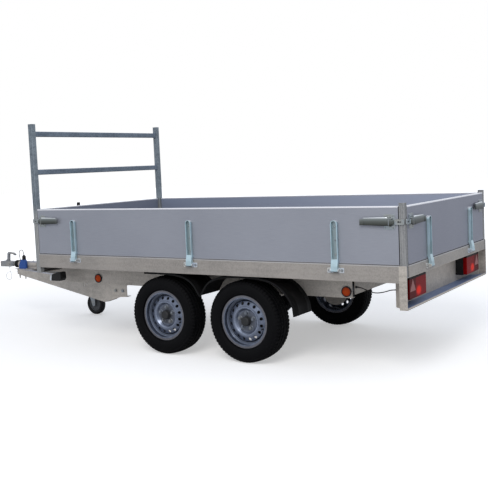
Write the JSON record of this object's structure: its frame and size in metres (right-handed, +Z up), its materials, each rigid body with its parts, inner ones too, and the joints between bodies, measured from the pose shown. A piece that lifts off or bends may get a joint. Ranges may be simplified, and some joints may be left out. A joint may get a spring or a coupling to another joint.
{
  "type": "flatbed trailer",
  "caption": "Tandem-axle flatbed trailer with hinged drop boards, a V drawbar with overrun coupling, a front ladder rack and a jockey-wheel jack.",
  "frame": {"origin": "on the floor, at the middle of the trailer's whole length and width", "axes": "+X forward along the drawbar, +Y to the trailer's left, +Z up"},
  "size_m": [4.525, 1.656, 1.746],
  "materials": {
    "galvanised": "hot-dip galvanised, matt with faint spangle",
    "post_steel": "galvanised, blue-grey",
    "deck_ply": "dark phenolic-faced plywood",
    "coupling_steel": "zinc-plated pressing with black parts",
    "lever_steel": "dark grey, satin",
    "soft_rubber": "matt black",
    "steel_cable": "plastic-coated wire rope",
    "blue_plastic": "moulded blue",
    "black_plastic": "moulded black",
    "red_lens": "ribbed red lens",
    "amber_reflector": "amber prism reflector",
    "board_aluminium": "anodised extrusion, satin",
    "zinc_plate": "zinc-plated, pale blue passivated",
    "jack_zinc": "zinc-plated tube",
    "jack_tyre": "solid rubber",
    "tyre_rubber": "road tyre",
    "rim_silver": "silver lacquer",
    "hub_black": "black-painted drum and hub"
  },
  "bodies": {
    "chassis": {"axle_front": "galvanised", "axle_rear": "galvanised", "breakaway_cable": "steel_cable", "chassis_members": "galvanised", "coupling_bellows": "soft_rubber", "coupling_handle": "coupling_steel", "coupling_head": "coupling_steel", "coupling_housing": "galvanised", "cross_members": "galvanised", "deck_floor": "deck_ply", "drawbar_leg_left": "galvanised", "drawbar_leg_right": "galvanised", "end_beams": "galvanised", "frame_side_rails": "galvanised", "front_posts": "post_steel", "handbrake_lever": "lever_steel", "hinge_brackets": "galvanised", "jack_clamp": "jack_zinc", "jack_crank": "jack_zinc", "jack_tube": "jack_zinc", "lamp_lead": "soft_rubber", "light_beam": "galvanised", "marker_lamps": "black_plastic", "mudguards": "black_plastic", "plug": "soft_rubber", "plug_holder": "blue_plastic", "plug_lead": "soft_rubber", "rack_rails": "post_steel", "rear_posts": "post_steel", "side_reflectors": "amber_reflector", "swing_arms": "galvanised", "tail_lamps": "black_plastic", "tail_lenses": "red_lens"},
    "left_side_panel": {"left_side_board": "board_aluminium", "left_side_latches": "zinc_plate", "left_side_straps": "zinc_plate"},
    "right_side_panel": {"right_side_board": "board_aluminium", "right_side_latches": "zinc_plate", "right_side_straps": "zinc_plate"},
    "tailgate_panel": {"tailgate": "board_aluminium", "tailgate_latches": "zinc_plate", "tailgate_straps": "zinc_plate"},
    "headboard_panel": {"headboard": "board_aluminium", "headboard_latches": "zinc_plate", "headboard_straps": "zinc_plate"},
    "jack_slide": {"jack_leg": "jack_zinc"},
    "jack_swivel": {"jack_fork": "jack_zinc"},
    "jack_roller": {"jack_wheel": "jack_tyre"},
    "wheel_front_left": {"hub_front_left": "hub_black", "rim_front_left": "rim_silver", "tyre_front_left": "tyre_rubber"},
    "wheel_front_right": {"hub_front_right": "hub_black", "rim_front_right": "rim_silver", "tyre_front_right": "tyre_rubber"},
    "wheel_rear_left": {"hub_rear_left": "hub_black", "rim_rear_left": "rim_silver", "tyre_rear_left": "tyre_rubber"},
    "wheel_rear_right": {"hub_rear_right": "hub_black", "rim_rear_right": "rim_silver", "tyre_rear_right": "tyre_rubber"}
  },
  "joints": [
    {"name": "left_side_hinge", "type": "hinge", "parent": "chassis", "child": "left_side_panel", "pos_m": [0, 0.817, 0.674], "axis": [-1, 0, 0], "range_deg": [0, 180]},
    {"name": "right_side_hinge", "type": "hinge", "parent": "chassis", "child": "right_side_panel", "pos_m": [0, -0.817, 0.674], "axis": [1, 0, 0], "range_deg": [0, 180]},
    {"name": "tailgate_hinge", "type": "hinge", "parent": "chassis", "child": "tailgate_panel", "pos_m": [-2.2515, 0, 0.674], "axis": [0, -1, 0], "range_deg": [0, 180]},
    {"name": "headboard_hinge", "type": "hinge", "parent": "chassis", "child": "headboard_panel", "pos_m": [0.9235, 0, 0.674], "axis": [0, 1, 0], "range_deg": [0, 122]},
    {"name": "wheel_front_left_spin", "type": "hinge", "parent": "chassis", "child": "wheel_front_left", "pos_m": [-0.3395, 0.6825, 0.286], "axis": [0, 1, 0], "continuous": true},
    {"name": "wheel_front_right_spin", "type": "hinge", "parent": "chassis", "child": "wheel_front_right", "pos_m": [-0.3395, -0.6825, 0.286], "axis": [0, 1, 0], "continuous": true},
    {"name": "wheel_rear_left_spin", "type": "hinge", "parent": "chassis", "child": "wheel_rear_left", "pos_m": [-1.0355, 0.6825, 0.286], "axis": [0, 1, 0], "continuous": true},
    {"name": "wheel_rear_right_spin", "type": "hinge", "parent": "chassis", "child": "wheel_rear_right", "pos_m": [-1.0355, -0.6825, 0.286], "axis": [0, 1, 0], "continuous": true},
    {"name": "jack_lift", "type": "slide", "parent": "chassis", "child": "jack_slide", "axis": [0, 0, 1], "range_m": [0, 0.13]},
    {"name": "jack_turn", "type": "hinge", "parent": "jack_slide", "child": "jack_swivel", "pos_m": [1.3645, -0.3, 0.222], "axis": [0, 0, 1], "continuous": true},
    {"name": "jack_wheel_spin", "type": "hinge", "parent": "jack_swivel", "child": "jack_roller", "pos_m": [1.3265, -0.3, 0.1], "axis": [0, 1, 0], "continuous": true}
  ]
}
